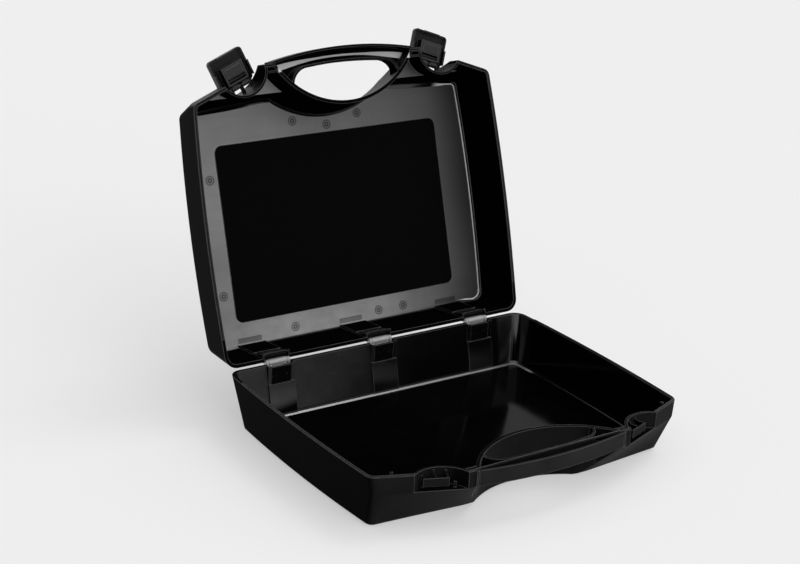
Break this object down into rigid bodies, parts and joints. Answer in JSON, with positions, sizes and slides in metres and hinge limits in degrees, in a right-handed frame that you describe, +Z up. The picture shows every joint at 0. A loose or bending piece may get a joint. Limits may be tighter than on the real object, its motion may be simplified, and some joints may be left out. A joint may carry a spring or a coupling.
{
  "type": "laptop hard case",
  "caption": "Moulded plastic carrying case with a hinged lid, two snap latches on slanted shoulders and a bowed handle split between the shells.",
  "frame": {"origin": "on the base's resting face, midway between the rear rim and the front corners and midway across", "axes": "+X to the case's right as seen from the front, +Y to the hinges, +Z up"},
  "size_m": [0.406, 0.4845, 0.3944],
  "materials": {
    "shell_plastic": "black polypropylene, smooth inside and finely grained outside",
    "latch_plastic": "black, satin",
    "hinge_plastic": "black, satin",
    "pin_steel": "drawn wire"
  },
  "bodies": {
    "base": {"base_shell": "shell_plastic", "hinge_base_leaf_left": "hinge_plastic", "hinge_base_leaf_middle": "hinge_plastic", "hinge_base_leaf_right": "hinge_plastic", "hinge_pin_left": "pin_steel", "hinge_pin_middle": "pin_steel", "hinge_pin_right": "pin_steel"},
    "lid": {"lid_shell": "shell_plastic", "hinge_lid_leaf_left": "hinge_plastic", "hinge_lid_leaf_middle": "hinge_plastic", "hinge_lid_leaf_right": "hinge_plastic", "latch_pin_left": "pin_steel", "latch_pin_right": "pin_steel"},
    "latch_left": {"latch_left": "latch_plastic"},
    "latch_right": {"latch_right": "latch_plastic"}
  },
  "joints": [
    {"name": "lid_hinge", "type": "hinge", "parent": "base", "child": "lid", "pos_m": [0, 0.1475, 0.06315], "axis": [1, 0, 0], "range_deg": [0, 106.7]},
    {"name": "left_latch_swing", "type": "hinge", "parent": "lid", "child": "latch_left", "pos_m": [-0.12576, 0.25755, 0.35462], "axis": [0.9344, 0.1024, 0.3412], "range_deg": [0, 90]},
    {"name": "right_latch_swing", "type": "hinge", "parent": "lid", "child": "latch_right", "pos_m": [0.12576, 0.25755, 0.35462], "axis": [0.9344, -0.1024, -0.3412], "range_deg": [0, 90]}
  ]
}
